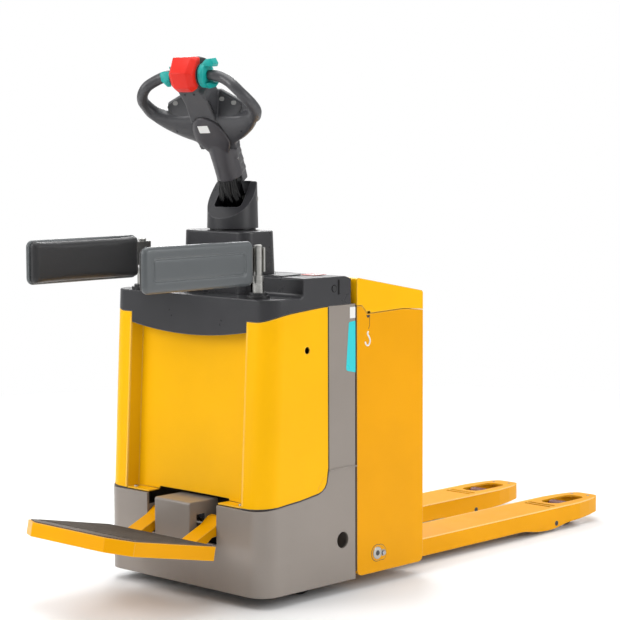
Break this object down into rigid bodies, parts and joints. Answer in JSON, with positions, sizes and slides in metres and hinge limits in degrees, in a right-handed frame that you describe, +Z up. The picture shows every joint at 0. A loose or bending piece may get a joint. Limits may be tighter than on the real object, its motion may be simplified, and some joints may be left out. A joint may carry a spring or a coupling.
{
  "type": "electric pallet truck",
  "caption": "Ride-on electric pallet truck with fold-up operator platform, swing-in side arms, tiller head and two low lifting forks on load wheels.",
  "frame": {"origin": "centre of the whole truck's box on the floor", "axes": "+X along the forks to their tips, +Z up, +Y to the left as seen from the operator looking along the forks"},
  "size_m": [2.3442, 0.73, 1.6706],
  "materials": {
    "yellow_cover": "satin moulded cover",
    "yellow_steel": "satin powder coat",
    "grey_steel": "satin powder coat",
    "charcoal_plastic": "fine grained moulding",
    "black_plastic": "fine grained moulding",
    "black_pad": "soft grained polyurethane skin",
    "grip_plastic": "soft touch",
    "red_plastic": "satin",
    "teal_plastic": "satin",
    "grey_plastic": "satin",
    "zinc_steel": "zinc plated",
    "machined_steel": "machined",
    "cast_metal": "as cast, painted",
    "tyre_rubber": "solid",
    "wheel_polyurethane": "reddish brown cast polyurethane",
    "cable_rubber": "smooth sheath",
    "mat_rubber": "fine ribbed mat",
    "battery_case": "satin"
  },
  "bodies": {
    "chassis": {"chassis_frame": "grey_steel", "front_cover": "yellow_cover", "cover_screws": "zinc_steel", "top_cover": "charcoal_plastic", "steering_housing": "charcoal_plastic", "platform_bracket": "black_plastic", "platform_hinge_pin": "zinc_steel", "steering_bearing_outer": "machined_steel", "hydraulic_unit": "cast_metal", "lift_cylinder": "machined_steel", "side_arm_sockets": "black_plastic"},
    "emergency_stop": {"emergency_stop": "red_plastic"},
    "key_switch": {"key_switch": "machined_steel"},
    "steering": {"steering_bearing_inner": "machined_steel", "drive_gearbox": "cast_metal", "drive_motor": "cast_metal", "steering_shaft": "cast_metal", "tiller_base": "charcoal_plastic", "tiller_pivot_pin": "zinc_steel"},
    "drive_wheel": {"drive_wheel": "cast_metal", "drive_tyre": "tyre_rubber"},
    "tiller": {"tiller_arm": "cast_metal", "arm_front_cover": "charcoal_plastic", "arm_rear_cover": "grey_plastic", "head_lower_shell": "charcoal_plastic", "head_upper_shell": "charcoal_plastic", "grip_left": "grip_plastic", "grip_right": "grip_plastic", "head_screws": "zinc_steel", "tiller_cables": "cable_rubber"},
    "belly_button": {"belly_button": "red_plastic"},
    "butterfly": {"butterfly_left": "teal_plastic", "butterfly_right": "teal_plastic", "butterfly_shaft": "machined_steel"},
    "button_lift_left": {"finger_button_lift_left": "grey_plastic"},
    "button_lift_right": {"finger_button_lift_right": "grey_plastic"},
    "button_lower_left": {"finger_button_lower_left": "grey_plastic"},
    "button_lower_right": {"finger_button_lower_right": "grey_plastic"},
    "horn_button": {"horn_button": "teal_plastic"},
    "platform": {"platform_tray": "yellow_steel", "platform_mat": "mat_rubber"},
    "side_arm_right": {"side_arm_post_right": "zinc_steel", "side_pad_right": "black_pad"},
    "side_arm_left": {"side_arm_post_left": "zinc_steel", "side_pad_left": "black_pad"},
    "castor_fork_left": {"castor_fork_left": "zinc_steel"},
    "castor_fork_right": {"castor_fork_right": "zinc_steel"},
    "castor_wheel_left": {"castor_wheel_left": "tyre_rubber"},
    "castor_wheel_right": {"castor_wheel_right": "tyre_rubber"},
    "carriage": {"carriage_frame": "yellow_steel", "fork_left": "yellow_steel", "fork_right": "yellow_steel", "battery": "battery_case", "lift_rod": "machined_steel"},
    "battery_cover": {"battery_cover": "yellow_cover"},
    "rocker": {"lift_rocker": "machined_steel"},
    "push_rods": {"push_rods": "machined_steel"},
    "wheel_brackets": {"load_wheel_brackets": "cast_metal"},
    "load_wheel_left": {"load_wheel_left": "wheel_polyurethane"},
    "load_wheel_right": {"load_wheel_right": "wheel_polyurethane"}
  },
  "joints": [
    {"name": "steering_turn", "type": "hinge", "parent": "chassis", "child": "steering", "pos_m": [-0.47787, 0, 0.6], "axis": [0, 0, 1], "range_deg": [-106, 74]},
    {"name": "drive_spin", "type": "hinge", "parent": "steering", "child": "drive_wheel", "pos_m": [-0.47787, 0, 0.115], "axis": [-0.2756, 0.9613, 0], "continuous": true},
    {"name": "tiller_tilt", "type": "hinge", "parent": "steering", "child": "tiller", "pos_m": [-0.44903, 0.00827, 1.228], "axis": [0.2756, -0.9613, 0], "range_deg": [-2, 46]},
    {"name": "belly_press", "type": "slide", "parent": "tiller", "child": "belly_button", "axis": [0.688, 0.1973, -0.6984], "range_m": [0, 0.005]},
    {"name": "butterfly_turn", "type": "hinge", "parent": "tiller", "child": "butterfly", "pos_m": [-0.7201, -0.06946, 1.61097], "axis": [-0.2756, 0.9613, 0], "range_deg": [-35, 35]},
    {"name": "lift_left_press", "type": "slide", "parent": "tiller", "child": "button_lift_left", "axis": [0.9612, 0.2756, -0.0074], "range_m": [0, 0.0016]},
    {"name": "lower_left_press", "type": "slide", "parent": "tiller", "child": "button_lower_left", "axis": [0.9612, 0.2756, -0.0074], "range_m": [0, 0.0016]},
    {"name": "lift_right_press", "type": "slide", "parent": "tiller", "child": "button_lift_right", "axis": [0.9612, 0.2756, -0.0074], "range_m": [0, 0.0016]},
    {"name": "lower_right_press", "type": "slide", "parent": "tiller", "child": "button_lower_right", "axis": [0.9612, 0.2756, -0.0074], "range_m": [0, 0.0016]},
    {"name": "horn_press", "type": "slide", "parent": "tiller", "child": "horn_button", "axis": [-0.6714, -0.1925, -0.7157], "range_m": [0, 0.001]},
    {"name": "stop_press", "type": "slide", "parent": "chassis", "child": "emergency_stop", "axis": [0, 0, -1], "range_m": [0, 0.006]},
    {"name": "key_turn", "type": "hinge", "parent": "chassis", "child": "key_switch", "pos_m": [-0.38287, 0.215, 0.9], "axis": [0, 0, 1], "range_deg": [0, 90]},
    {"name": "platform_fold", "type": "hinge", "parent": "chassis", "child": "platform", "pos_m": [-0.67387, 0, 0.234], "axis": [0, 1, 0], "range_deg": [-11.2, 78.8]},
    {"name": "side_arm_right_swing", "type": "hinge", "parent": "chassis", "child": "side_arm_right", "pos_m": [-0.62687, -0.263, 0.95], "axis": [0, 0, -1], "range_deg": [0, 30]},
    {"name": "side_arm_left_swing", "type": "hinge", "parent": "chassis", "child": "side_arm_left", "pos_m": [-0.62687, 0.263, 0.95], "axis": [0, 0, 1], "range_deg": [0, 30]},
    {"name": "castor_left_swivel", "type": "hinge", "parent": "chassis", "child": "castor_fork_left", "pos_m": [-0.47787, 0.262, 0.14], "axis": [0, 0, 1], "continuous": true},
    {"name": "castor_left_spin", "type": "hinge", "parent": "castor_fork_left", "child": "castor_wheel_left", "pos_m": [-0.45387, 0.262, 0.06], "axis": [0, 1, 0], "continuous": true},
    {"name": "castor_right_swivel", "type": "hinge", "parent": "chassis", "child": "castor_fork_right", "pos_m": [-0.47787, -0.262, 0.14], "axis": [0, 0, 1], "continuous": true},
    {"name": "castor_right_spin", "type": "hinge", "parent": "castor_fork_right", "child": "castor_wheel_right", "pos_m": [-0.45387, -0.262, 0.06], "axis": [0, 1, 0], "continuous": true},
    {"name": "lift", "type": "slide", "parent": "chassis", "child": "carriage", "axis": [0, 0, 1], "range_m": [0, 0.122]},
    {"name": "battery_cover_open", "type": "hinge", "parent": "carriage", "child": "battery_cover", "pos_m": [0.02663, 0, 0.8675], "axis": [0, 1, 0], "range_deg": [0, 75]},
    {"name": "rocker_turn", "type": "hinge", "parent": "carriage", "child": "rocker", "pos_m": [-0.19987, 0, 0.103], "axis": [0, -1, 0], "range_deg": [0, 37]},
    {"name": "push_rod_travel", "type": "slide", "parent": "carriage", "child": "push_rods", "axis": [1, 0, 0], "range_m": [0, 0.039]},
    {"name": "wheel_bracket_turn", "type": "hinge", "parent": "carriage", "child": "wheel_brackets", "pos_m": [0.87113, 0, 0.028], "axis": [0, 1, 0], "range_deg": [0, 62.3]},
    {"name": "load_wheel_left_spin", "type": "hinge", "parent": "wheel_brackets", "child": "load_wheel_left", "pos_m": [1.00113, 0.1855, 0.041], "axis": [0, 1, 0], "continuous": true},
    {"name": "load_wheel_right_spin", "type": "hinge", "parent": "wheel_brackets", "child": "load_wheel_right", "pos_m": [1.00113, -0.1855, 0.041], "axis": [0, 1, 0], "continuous": true}
  ],
  "couplings": [
    {"joint": "rocker_turn", "follows": "lift", "rad_per_m": 5.2},
    {"joint": "push_rod_travel", "follows": "lift", "ratio": 0.319},
    {"joint": "wheel_bracket_turn", "follows": "lift", "rad_per_m": 8.9}
  ]
}
